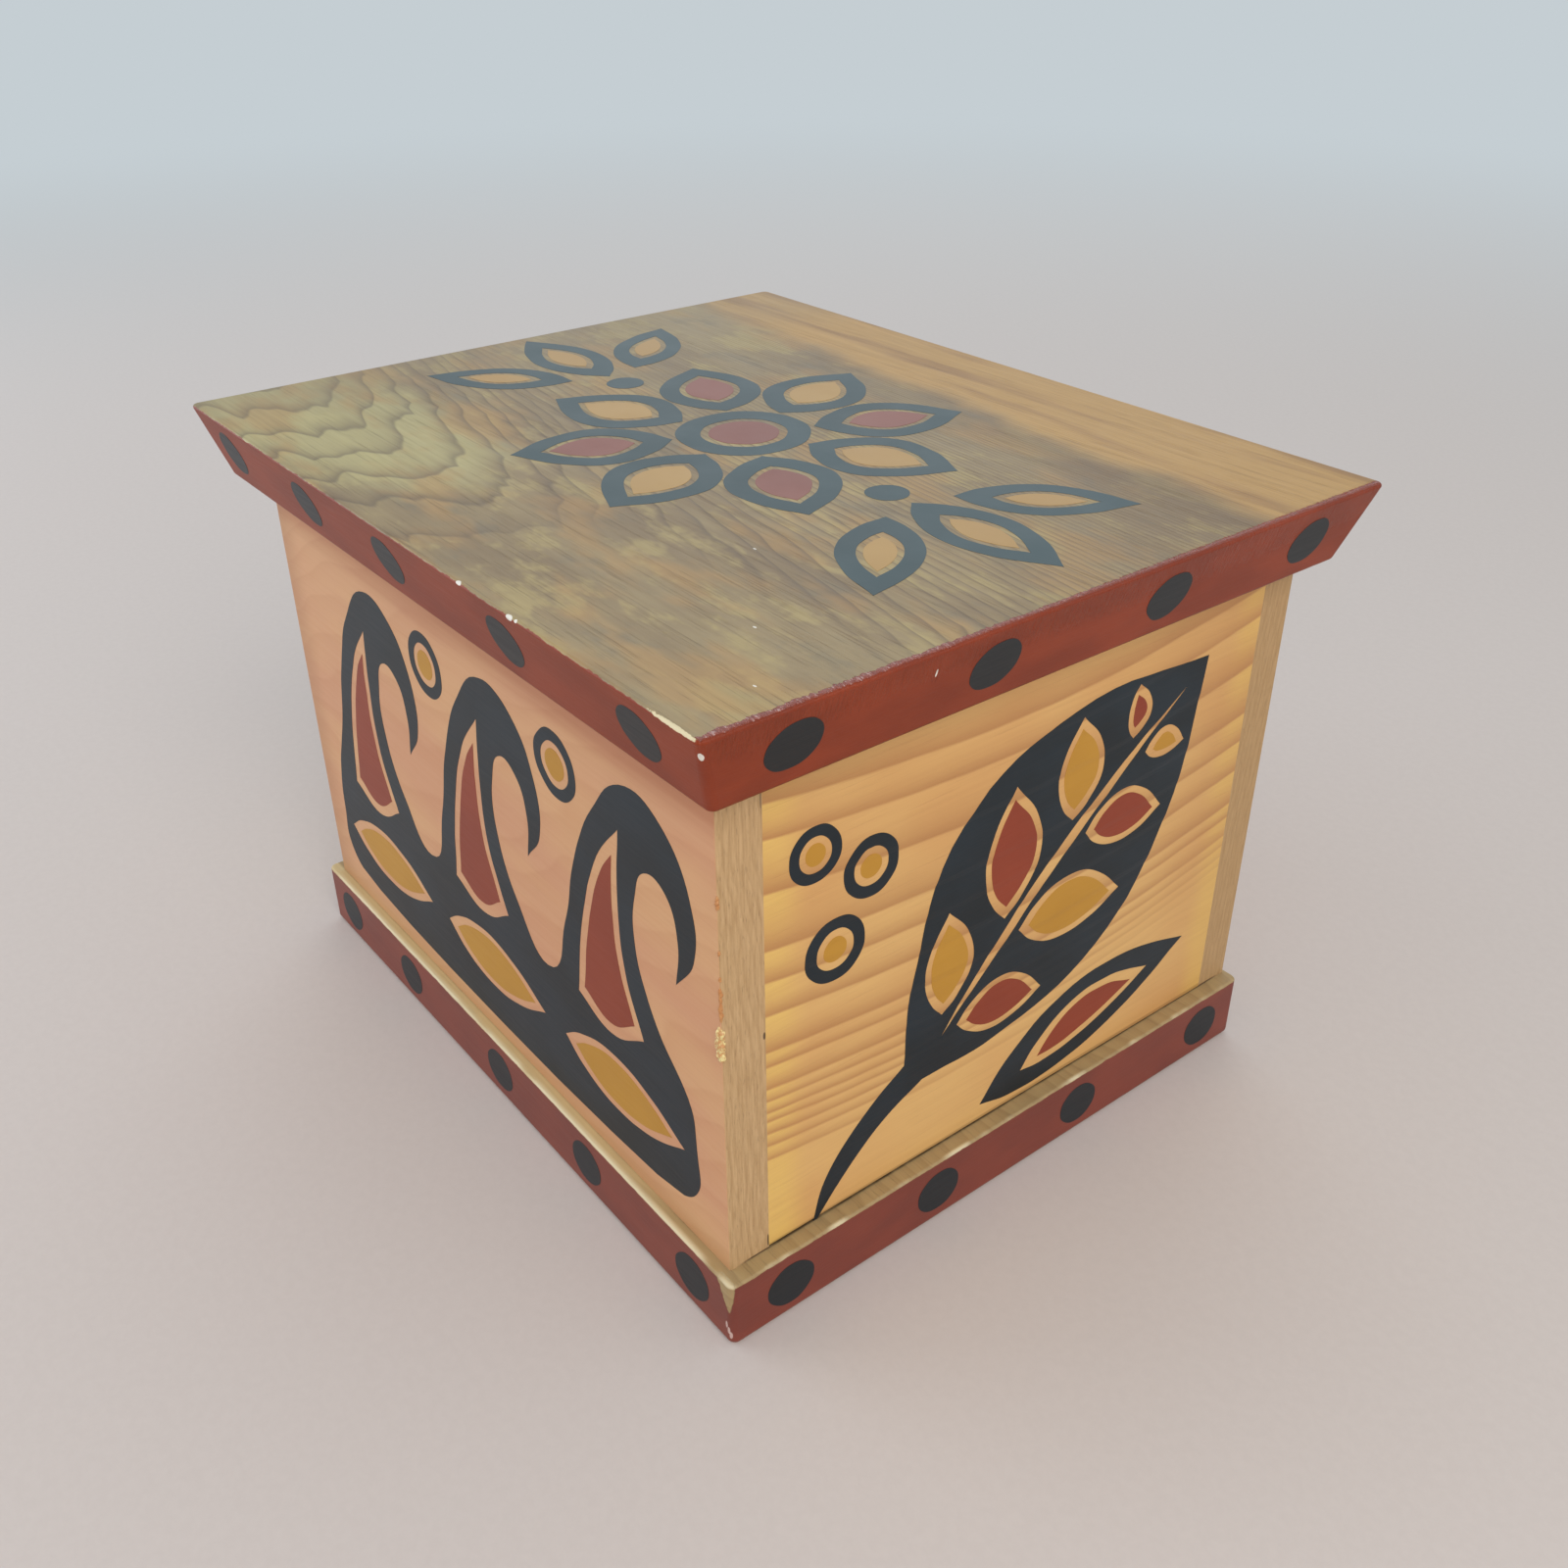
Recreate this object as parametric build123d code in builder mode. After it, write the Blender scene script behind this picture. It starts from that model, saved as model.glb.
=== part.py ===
# A small cedar storage box with a lift-off lid, made by hand from flat boards.
#
# Four wall boards stand on a thick base board that shows as a narrow ledge all round. The front
# and back walls run the whole length, so their end grain shows on the two ends of the box, and
# the end panels are held between them with blind dowels. Screws come up through the base into
# the front and back walls. The end panels are a hair short, which leaves a thin gap above the
# base. The lid is a thick board whose edges slope inwards towards the bottom. Four cleats under
# it drop inside the walls and keep it in place.
#
# Units are millimetres. +X runs along the front, +Y points to the back, +Z points up. The origin
# is on the base board's underside, below the middle of the four walls.

import os
from math import radians, tan

from build123d import *

# Walls, base and lid
BOX_LENGTH = 300.0  # over the walls, along X
BOX_DEPTH = 254.0  # over the walls, along Y
WALL_HEIGHT = 187.0
WALL = 16.0  # thickness of the four wall boards
SLAB = 28.5  # thickness of the base and lid boards
LEDGE_END = 6.5  # how far the base stands out past each end
LEDGE_FRONT = 4.5
LEDGE_BACK = 1.5
LID_OVERHANG_END = 22.5  # how far the lid's top edge stands out past the walls
LID_OVERHANG_SIDE = 15.5
LID_SLOPE = 9.0  # how far its edges slope in on the way down
LID_SHIFT = (-1.4, -3.0)  # the lid board sits a little to the left and to the front
PANEL_GAP_FRONT = 1.2  # below the end panels, closing towards the back
PANEL_GAP_BACK = 0.4

# Worn and eased edges
SLAB_CORNER_EASE = 3.0
SLAB_BOTTOM_EASE = 2.5
SLAB_TOP_EASE = 1.0
WALL_CORNER_EASE = 0.8
RIM_EASE = 0.5
SEAM_EASE = 0.3

# Blind dowels in the corners, lying along Y
DOWEL_RADIUS = 4.0
DOWEL_PLAY = 0.03  # room for glue round a dowel
DOWEL_IN_WALL = 8.0
DOWEL_IN_PANEL = 16.0
DOWEL_END_EASE = 0.8
DOWEL_HEIGHTS = (30.0, 93.5, 157.0)  # above the foot of the walls

# Cleats under the lid
CLEAT_WIDTH = 14.0
CLEAT_HEIGHT = 12.0
CLEAT_PLAY = 1.2  # between a cleat and the wall beside it
CLEAT_LEAD_IN = 2.0  # chamfer that guides the lid into the walls

# Countersunk wood screws: length, shank radius and head radius
BASE_SCREW = (45.0, 2.1, 4.15)
CLEAT_SCREW = (25.0, 1.7, 3.3)
BASE_SCREW_X = (-120.0, 0.0, 120.0)
LONG_CLEAT_SCREW_X = (-100.0, 0.0, 100.0)
SHORT_CLEAT_SCREW_Y = (-55.0, 55.0)
HEAD_SET_IN = 0.5  # head below the face it is driven into
HEAD_ANGLE = 90.0
HEAD_PLAY = 0.05
SHANK_PLAY = 0.1
THREAD_SHARE = 0.6  # of the screw's length
THREAD_PITCH = 1.8
THREAD_DEPTH = 0.55
PILOT_PLAY = 0.05  # between the pilot hole and the thread's root
POINT_LENGTH = 3.0
RECESS_SPAN = 0.62  # cross recess, as shares of the head's diameter
RECESS_ARM = 0.14
RECESS_DEPTH = 1.6
HOLE_SPARE = 1.0  # how much deeper a blind hole is than what goes in it

# Heights and middles worked out from the above
WALL_FOOT = SLAB
WALL_TOP = WALL_FOOT + WALL_HEIGHT
LID_TOP = WALL_TOP + SLAB
CLEAT_FOOT = WALL_TOP - CLEAT_HEIGHT
INNER_LENGTH = BOX_LENGTH - 2 * WALL
INNER_DEPTH = BOX_DEPTH - 2 * WALL
LONG_WALL_Y = (BOX_DEPTH - WALL) / 2
END_PANEL_X = (BOX_LENGTH - WALL) / 2
CLEAT_FRAME = (INNER_LENGTH - 2 * CLEAT_PLAY, INNER_DEPTH - 2 * CLEAT_PLAY)
LONG_CLEAT_Y = (CLEAT_FRAME[1] - CLEAT_WIDTH) / 2
SHORT_CLEAT_X = (CLEAT_FRAME[0] - CLEAT_WIDTH) / 2

BASE_SCREW_PLACES = [(x, y) for y in (-LONG_WALL_Y, LONG_WALL_Y) for x in BASE_SCREW_X]
LONG_CLEAT_SCREWS = [(x, y) for y in (-LONG_CLEAT_Y, LONG_CLEAT_Y) for x in LONG_CLEAT_SCREW_X]
SHORT_CLEAT_SCREWS = [(x, y) for x in (-SHORT_CLEAT_X, SHORT_CLEAT_X) for y in SHORT_CLEAT_SCREW_Y]
CLEAT_SCREW_PLACES = LONG_CLEAT_SCREWS + SHORT_CLEAT_SCREWS

STANDING = (Align.CENTER, Align.CENTER, Align.MIN)
UPWARDS = (0, 0, 0)
UPSIDE_DOWN = (180, 0, 0)
TO_FRONT = (90, 0, 0)  # turns +Z towards -Y
TO_BACK = (-90, 0, 0)  # turns +Z towards +Y


def finish(piece, name):
    """Labels a finished piece and writes it under its own name."""
    piece.part.label = name
    export_step(piece.part, f"parts/{name}.step")


def blind_holes(places, turn, radius, depth):
    """Round holes into the part being built, each from its place and as deep as what it holds needs."""
    with Locations(*[Location(place, turn) for place in places]):
        Cylinder(radius, depth + HOLE_SPARE, align=STANDING, mode=Mode.SUBTRACT)


def screw_holes(places, face_z, screw):
    """Clearance holes through the part being built, countersunk in its lower face at face_z."""
    length, shank, head = screw
    with Locations(*[Location((x, y, face_z), UPSIDE_DOWN) for x, y in places]):
        CounterSinkHole(
            radius=shank + SHANK_PLAY,
            counter_sink_radius=head + HEAD_PLAY + HEAD_SET_IN * tan(radians(HEAD_ANGLE / 2)),
            counter_sink_angle=HEAD_ANGLE,
        )


def pilot_holes(places, screw, face_z, screw_face_z):
    """Narrow holes up from face_z, where the threads of screws driven in from screw_face_z bite."""
    length, shank, head = screw
    depth = screw_face_z + HEAD_SET_IN + length - face_z
    blind_holes([(x, y, face_z) for x, y in places], UPWARDS, shank - THREAD_DEPTH + PILOT_PLAY, depth)


def ease_slab(slab):
    """Rounds a thick board: its four corners first, then a soft bottom edge and a crisper top edge."""
    fillet(slab.edges().group_by(Axis.Z)[1], radius=SLAB_CORNER_EASE)
    fillet(slab.faces().sort_by(Axis.Z)[0].edges(), radius=SLAB_BOTTOM_EASE)
    fillet(slab.faces().sort_by(Axis.Z)[-1].edges(), radius=SLAB_TOP_EASE)


def make_base_board():
    """The thick board that everything stands on."""
    depth = BOX_DEPTH + LEDGE_FRONT + LEDGE_BACK
    middle_y = (LEDGE_BACK - LEDGE_FRONT) / 2
    with BuildPart() as base_board:
        with Locations((0, middle_y, 0)):
            Box(BOX_LENGTH + 2 * LEDGE_END, depth, SLAB, align=STANDING)
        ease_slab(base_board)
        screw_holes(BASE_SCREW_PLACES, 0.0, BASE_SCREW)
    finish(base_board, "base_board")


def dowel_places(y):
    """Where the axes of the dowels cross the plane at y, at both ends of the box."""
    return [(x, y, WALL_FOOT + z) for x in (-END_PANEL_X, END_PANEL_X) for z in DOWEL_HEIGHTS]


def make_long_wall(name, side):
    """The front wall, where side is -1, or the back wall, where it is 1."""
    inner_y = side * INNER_DEPTH / 2
    screw_places = [place for place in BASE_SCREW_PLACES if place[1] * side > 0]
    with BuildPart() as wall:
        with Locations((0, side * LONG_WALL_Y, WALL_FOOT)):
            Box(BOX_LENGTH, WALL, WALL_HEIGHT, align=STANDING)
        upright = wall.edges().filter_by(Axis.Z).sort_by(Axis.Y)
        fillet(upright[:2] if side < 0 else upright[2:], radius=WALL_CORNER_EASE)
        rim = wall.edges().filter_by(Axis.X).group_by(Axis.Z)[-1]
        fillet(rim, radius=RIM_EASE)
        turn = TO_FRONT if side < 0 else TO_BACK
        blind_holes(dowel_places(inner_y), turn, DOWEL_RADIUS + DOWEL_PLAY, DOWEL_IN_WALL)
        pilot_holes(screw_places, BASE_SCREW, WALL_FOOT, 0.0)
    finish(wall, name)


def make_end_panel(name, side):
    """The left end panel, where side is -1, or the right one, where it is 1."""
    half = INNER_DEPTH / 2
    with BuildPart() as panel:
        with BuildSketch(Plane.YZ.offset(side * END_PANEL_X)):
            with BuildLine():
                Polyline(
                    (-half, WALL_FOOT + PANEL_GAP_FRONT),
                    (half, WALL_FOOT + PANEL_GAP_BACK),
                    (half, WALL_TOP),
                    (-half, WALL_TOP),
                    close=True,
                )
            make_face()
        extrude(amount=WALL / 2, both=True)
        outside = panel.faces().sort_by(Axis.X)[-1 if side > 0 else 0]
        chamfer(outside.edges().filter_by(Axis.Z), length=SEAM_EASE)
        fillet(panel.edges().filter_by(Axis.Y).group_by(Axis.Z)[-1], radius=RIM_EASE)
        for y, turn in ((-half, TO_BACK), (half, TO_FRONT)):
            places = [place for place in dowel_places(y) if place[0] * side > 0]
            blind_holes(places, turn, DOWEL_RADIUS + DOWEL_PLAY, DOWEL_IN_PANEL)
    finish(panel, name)


def make_corner_dowels():
    """Twelve wooden dowels, three in each corner, partly in a long wall and partly in an end panel."""
    length = DOWEL_IN_WALL + DOWEL_IN_PANEL
    middle_y = INNER_DEPTH / 2 + (DOWEL_IN_WALL - DOWEL_IN_PANEL) / 2
    with BuildPart() as dowel:
        Cylinder(DOWEL_RADIUS, length, rotation=TO_FRONT)
        chamfer(dowel.edges().filter_by(GeomType.CIRCLE), length=DOWEL_END_EASE)
    with BuildPart() as corner_dowels:
        with Locations(*dowel_places(-middle_y), *dowel_places(middle_y)):
            add(dowel.part)
    finish(corner_dowels, "corner_dowels")


def make_lid_board():
    """The lid: a thick board, larger at the top than at the bottom, with pilot holes for the cleats."""
    length = BOX_LENGTH + 2 * LID_OVERHANG_END
    depth = BOX_DEPTH + 2 * LID_OVERHANG_SIDE
    with BuildPart() as lid_board:
        with BuildSketch(Plane.XY.offset(WALL_TOP)):
            with Locations(LID_SHIFT):
                Rectangle(length - 2 * LID_SLOPE, depth - 2 * LID_SLOPE)
        with BuildSketch(Plane.XY.offset(LID_TOP)):
            with Locations(LID_SHIFT):
                Rectangle(length, depth)
        loft(ruled=True)
        ease_slab(lid_board)
        pilot_holes(CLEAT_SCREW_PLACES, CLEAT_SCREW, WALL_TOP, CLEAT_FOOT)
    finish(lid_board, "lid_board")


def make_cleat(name, middle, size, across, side, screw_places):
    """A strip under the lid. Its outer face looks along the axis across, to the plus or minus side."""
    with BuildPart() as cleat:
        with Locations((*middle, CLEAT_FOOT)):
            Box(*size, CLEAT_HEIGHT, align=STANDING)
        lower_edges = cleat.edges().group_by(Axis.Z)[0].sort_by(across)
        chamfer(lower_edges[-1 if side > 0 else 0], length=CLEAT_LEAD_IN)
        screw_holes(screw_places, CLEAT_FOOT, CLEAT_SCREW)
    finish(cleat, name)


def make_cleats():
    """Two cleats along the front and back walls, and two shorter ones that fit between them."""
    short_length = CLEAT_FRAME[1] - 2 * CLEAT_WIDTH
    for name, side in (("lid_cleat_front", -1), ("lid_cleat_back", 1)):
        places = [place for place in LONG_CLEAT_SCREWS if place[1] * side > 0]
        make_cleat(name, (0, side * LONG_CLEAT_Y), (CLEAT_FRAME[0], CLEAT_WIDTH), Axis.Y, side, places)
    for name, side in (("lid_cleat_left", -1), ("lid_cleat_right", 1)):
        places = [place for place in SHORT_CLEAT_SCREWS if place[0] * side > 0]
        make_cleat(name, (side * SHORT_CLEAT_X, 0), (CLEAT_WIDTH, short_length), Axis.X, side, places)


def screw_outline(screw):
    """Half the outline of a screw, as points of radius and distance from the head's face."""
    length, shank, head = screw
    neck = (head - shank) / tan(radians(HEAD_ANGLE / 2))
    root = shank - THREAD_DEPTH
    turns = int(length * THREAD_SHARE / THREAD_PITCH)
    thread_start = length - POINT_LENGTH - turns * THREAD_PITCH
    outline = [(0, 0), (head, 0), (shank, neck), (shank, thread_start - THREAD_PITCH / 2)]
    for turn in range(turns):
        crest = thread_start + (turn + 0.5) * THREAD_PITCH
        outline += [(root, crest - THREAD_PITCH / 2), (shank, crest)]
    return outline + [(root, length - POINT_LENGTH), (0, length)]


def make_screws(name, screw, places, face_z):
    """A group of screws driven upwards, their heads set in from the face at face_z."""
    span = 2 * screw[2] * RECESS_SPAN
    arm = 2 * screw[2] * RECESS_ARM
    with BuildPart() as one_screw:
        with BuildSketch(Plane.XZ):
            with BuildLine():
                Polyline(*screw_outline(screw), close=True)
            make_face()
        revolve(axis=Axis.Z)
        with BuildSketch(Plane.XY):
            Rectangle(span, arm)
            Rectangle(arm, span)
        extrude(amount=RECESS_DEPTH, mode=Mode.SUBTRACT)
    with BuildPart() as group:
        with Locations(*[(x, y, face_z + HEAD_SET_IN) for x, y in places]):
            add(one_screw.part)
    finish(group, name)


os.makedirs("parts", exist_ok=True)
make_base_board()
make_long_wall("front_wall", -1)
make_long_wall("back_wall", 1)
make_end_panel("left_end_panel", -1)
make_end_panel("right_end_panel", 1)
make_corner_dowels()
make_screws("base_screws", BASE_SCREW, BASE_SCREW_PLACES, 0.0)
make_lid_board()
make_cleats()
make_screws("cleat_screws", CLEAT_SCREW, CLEAT_SCREW_PLACES, CLEAT_FOOT)
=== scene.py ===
# Looks of a handmade cedar box with a lift-off lid: the grain of its boards, the red edges with
# their row of black dots, the painted ornament and the small marks of making and wear.
# Blender works in metres. Drawings and patterns are given in millimetres.

from math import atan2, cos, pi, radians, sin, tan

import bpy
from mathutils import Matrix, Vector, noise


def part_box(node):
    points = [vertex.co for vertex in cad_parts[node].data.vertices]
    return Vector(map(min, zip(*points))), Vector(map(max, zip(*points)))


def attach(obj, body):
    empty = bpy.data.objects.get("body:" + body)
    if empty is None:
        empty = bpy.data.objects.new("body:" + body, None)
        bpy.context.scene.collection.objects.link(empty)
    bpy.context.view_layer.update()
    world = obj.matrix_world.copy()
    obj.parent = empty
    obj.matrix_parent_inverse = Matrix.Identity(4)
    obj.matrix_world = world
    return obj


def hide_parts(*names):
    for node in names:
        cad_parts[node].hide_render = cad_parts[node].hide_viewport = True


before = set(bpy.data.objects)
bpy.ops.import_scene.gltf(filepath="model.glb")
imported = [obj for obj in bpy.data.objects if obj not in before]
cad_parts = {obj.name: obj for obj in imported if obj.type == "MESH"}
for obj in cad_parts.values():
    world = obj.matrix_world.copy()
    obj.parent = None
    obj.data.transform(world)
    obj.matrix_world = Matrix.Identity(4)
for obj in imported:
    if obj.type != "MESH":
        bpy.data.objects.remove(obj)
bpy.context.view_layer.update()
bpy.ops.object.select_all(action="DESELECT")

MM = 0.001


def reach(node):
    """Lowest and highest corner of a CAD node, in millimetres."""
    low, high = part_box(node)
    return low / MM, high / MM


BASE_LOW, BASE_HIGH = reach("base_board")
FRONT_LOW, FRONT_HIGH = reach("front_wall")
LID_LOW, LID_HIGH = reach("lid_board")
PANEL_LOW, PANEL_HIGH = reach("right_end_panel")
WALL_FOOT = BASE_HIGH.z
WALL_END = FRONT_HIGH.x
WALL_FACE = -FRONT_LOW.y  # how far from the middle the outer faces of both walls are
LID_SLOPE = 9.0  # how far the lid's edges slope in on the way down
LID_SLOPE_ANGLE = atan2(LID_SLOPE, LID_HIGH.z - LID_LOW.z)
SLAB_TOP_EASE = 1.0  # radius of the rounding along the top edges of the base and lid
PANEL_GAP_FRONT = 1.2
PANEL_GAP_BACK = 0.4


def display(red, green, blue):
    """A colour given as it shows on a screen, 0 to 255, as the light values that a shader takes."""
    levels = [level / 255 for level in (red, green, blue)]
    return (*[v / 12.92 if v <= 0.04045 else ((v + 0.055) / 1.055) ** 2.4 for v in levels], 1.0)


def clamped(number):
    """A number held between 0 and 1."""
    return min(1.0, max(0.0, number))


# Shader maths


class Value:
    """A number that varies over a surface. Python maths on it adds Math nodes."""

    def __init__(self, finish, socket):
        self.finish = finish
        self.socket = socket

    def maths(self, operation, *numbers):
        node = self.finish.node("ShaderNodeMath", {"operation": operation}, dict(enumerate(numbers)))
        return Value(self.finish, node.outputs[0])

    def __add__(self, other):
        return self.maths("ADD", self, other)

    def __sub__(self, other):
        return self.maths("SUBTRACT", self, other)

    def __rsub__(self, other):
        return self.maths("SUBTRACT", other, self)

    def __mul__(self, other):
        return self.maths("MULTIPLY", self, other)

    def __truediv__(self, other):
        return self.maths("DIVIDE", self, other)

    def __pow__(self, other):
        return self.maths("POWER", self, other)

    def __mod__(self, other):
        return self.maths("FLOORED_MODULO", self, other)

    def __abs__(self):
        return self.maths("ABSOLUTE", self)

    __radd__ = __add__
    __rmul__ = __mul__

    def larger(self, other):
        return self.maths("MAXIMUM", self, other)

    def slope(self, start, end, interpolation="LINEAR"):
        """0 on the start side, 1 on the end side, and a straight slope between the two."""
        node = self.finish.node(
            "ShaderNodeMapRange",
            {"interpolation_type": interpolation},
            {"Value": self, "From Min": start, "From Max": end},
        )
        return Value(self.finish, node.outputs["Result"])

    def smooth(self, start, end):
        """The same with a smooth step between the two."""
        return self.slope(start, end, "SMOOTHSTEP")


class Finish:
    """A procedural material. x, y and z are the place on the box, in millimetres."""

    def __init__(self, name):
        self.material = bpy.data.materials.new(name)
        self.material.use_nodes = True
        self.tree = self.material.node_tree
        self.surface = self.tree.nodes["Principled BSDF"]
        place = self.node("ShaderNodeTexCoord").outputs["Object"]
        scaled = self.node("ShaderNodeVectorMath", {"operation": "SCALE"}, {0: place, "Scale": 1 / MM})
        split = self.node("ShaderNodeSeparateXYZ", {}, {0: scaled.outputs[0]})
        self.x, self.y, self.z = [Value(self, output) for output in split.outputs]

    def set(self, socket, value):
        """Gives a socket a number or a colour, or links it to what varies."""
        source = value.socket if isinstance(value, Value) else value
        if isinstance(source, bpy.types.NodeSocket):
            self.tree.links.new(source, socket)
        else:
            socket.default_value = source

    def node(self, kind, settings=None, inputs=None):
        """A new shader node, with its settings and with the values or links of its sockets."""
        node = self.tree.nodes.new(kind)
        for name, value in (settings or {}).items():
            setattr(node, name, value)
        for name, value in (inputs or {}).items():
            self.set(node.inputs[name], value)
        return node

    def mix(self, share, first, second):
        """A colour between two others."""
        node = self.node("ShaderNodeMix", {"data_type": "RGBA"}, {0: share, 6: first, 7: second})
        return node.outputs[2]

    def noise(self, x, y, z, detail=2.0, roughness=0.5):
        """Soft noise from 0 to 1, about 0.5 on average. Larger factors on x, y and z make it finer."""
        vector = self.node("ShaderNodeCombineXYZ", {}, {0: x, 1: y, 2: z}).outputs[0]
        inputs = {"Vector": vector, "Scale": 1.0, "Detail": detail, "Roughness": roughness}
        return Value(self, self.node("ShaderNodeTexNoise", {}, inputs).outputs[0])

    def even_noise(self, rate, detail=2.0, roughness=0.5):
        """Noise that is as fine along x as along y and z."""
        return self.noise(self.x * rate, self.y * rate, self.z * rate, detail, roughness)

    def patch(self, centre, reach_out, ragged=0.8):
        """1 inside a ragged blob, 0 outside. reach_out is its half size along x, y and z."""
        far = (self.even_noise(0.7, 3.0, 0.7) - 0.5) * ragged
        for place, middle, half in zip((self.x, self.y, self.z), centre, reach_out):
            off = (place - middle) / half
            far = off * off + far
        return far.smooth(1.1, 0.8)

    def finish(self, colour, roughness, height, **fixed):
        """Closes the material. height is in millimetres, and fixed names more of the shader's sockets."""
        bump = self.node("ShaderNodeBump", {}, {"Strength": 1.0, "Distance": MM, "Height": height})
        self.set(self.surface.inputs["Base Color"], colour)
        self.set(self.surface.inputs["Roughness"], roughness)
        self.set(self.surface.inputs["Normal"], bump.outputs[0])
        for name, value in fixed.items():
            self.set(self.surface.inputs[name.replace("_", " ")], value)
        return self.material


# Wood grain


def ring_tone(rings, sharp=0.05):
    """Growth rings: each one darkens slowly towards its late wood and then ends at once."""
    part = rings % 1.0
    return part * part * part.smooth(1.0, 1.0 - sharp)


def fibres(finish, along, across, deep):
    """Fine streaks that run with the grain: broad soft ones and thin dark pores."""
    streaks = finish.noise(along * 0.008, across * 0.55, deep * 0.55, 4.0, 0.6)
    pores = finish.noise(along * 0.035, across * 2.6, deep * 2.6, 2.0, 0.6).smooth(0.56, 0.74)
    return streaks, pores


# Where the dark lines of an end panel lie below its top edge, with the sag of the middle added.
PANEL_RINGS = (2, 20, 32, 51, 71, 83, 96, 110, 116, 125, 130, 135, 139, 144, 149, 155)
PANEL_SAG = 10.0
PANEL_SAG_AT = -0.1
PANEL_LEAN = 18.0  # how much higher the rings fade out at the back than in the middle


def panel_depth(across, down):
    """How deep in the rings a place lies. across is its place across the panel, from -1 to 1."""
    off_middle = across - PANEL_SAG_AT
    return down + PANEL_SAG * off_middle * off_middle


def panel_ring_tone(depth):
    """Each band darkens on the way down to its line, and the next one starts bright."""
    tone = 0.0
    for upper, lower in zip(PANEL_RINGS, PANEL_RINGS[1:]):
        part = depth.slope(upper, lower)
        tone = part * part * depth.slope(lower + 0.7, lower - 0.3) + tone
    return tone


# Finishes of the boards

RED = display(146, 58, 28)
RED_DEEP = display(130, 50, 24)
LID_COAT_GLOSS = 0.25
BASE_COAT_GLOSS = 0.55
BARE = display(228, 210, 170)
# Near white; on the lid's front edge it also stands in for painted glints.
CHALKY = display(236, 228, 216)


def red_coat(finish):
    """Colour, roughness and relief of the hand-brushed red paint."""
    x, y, z = finish.x, finish.y, finish.z
    patches = finish.noise(x * 0.03, y * 0.03, z * 0.06, 3.0)
    strokes = finish.noise(x * 0.05, y * 0.05, z * 1.6, 3.0, 0.6)
    colour = finish.mix(patches.smooth(0.3, 0.7), RED, RED_DEEP)
    colour = finish.mix(strokes.smooth(0.5, 0.8) * 0.2, colour, display(154, 70, 42))
    roughness = 0.36 + strokes * 0.16
    height = strokes * 0.05 + finish.even_noise(0.9) * 0.03
    return colour, roughness, height


HEART_Y = -108.0  # the lid's rings are pointed along this line
LAP_INNER = 2.6  # how far the red paint laps onto the lid's top at the right
# Small chalky marks in the red paint of the lid: place and half size along x, y and z. The three on the
# front edge are partly chips and partly painted glints.
LID_CHIPS_AND_GLINTS = [
    ((47.7, -144.7, 243.5), (1.6, 0.9, 0.6)),
    ((77.9, -144.7, 243.3), (2.0, 0.9, 0.8)),
    ((81.5, -144.7, 243.5), (0.8, 0.8, 0.5)),
    ((168.0, -142.9, 238.6), (0.9, 0.9, 2.1)),
    ((168.7, -65.0, 236.5), (1.2, 0.35, 1.5)),
]
LID_WORN_END = (160.0, -145.3)  # the bare right end of the lid's front edge
LID_FLECKS = [(82.7, -61.7), (127.3, -95.5), (155.3, -116.7)]  # tiny and pale, on the lid's top


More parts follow.
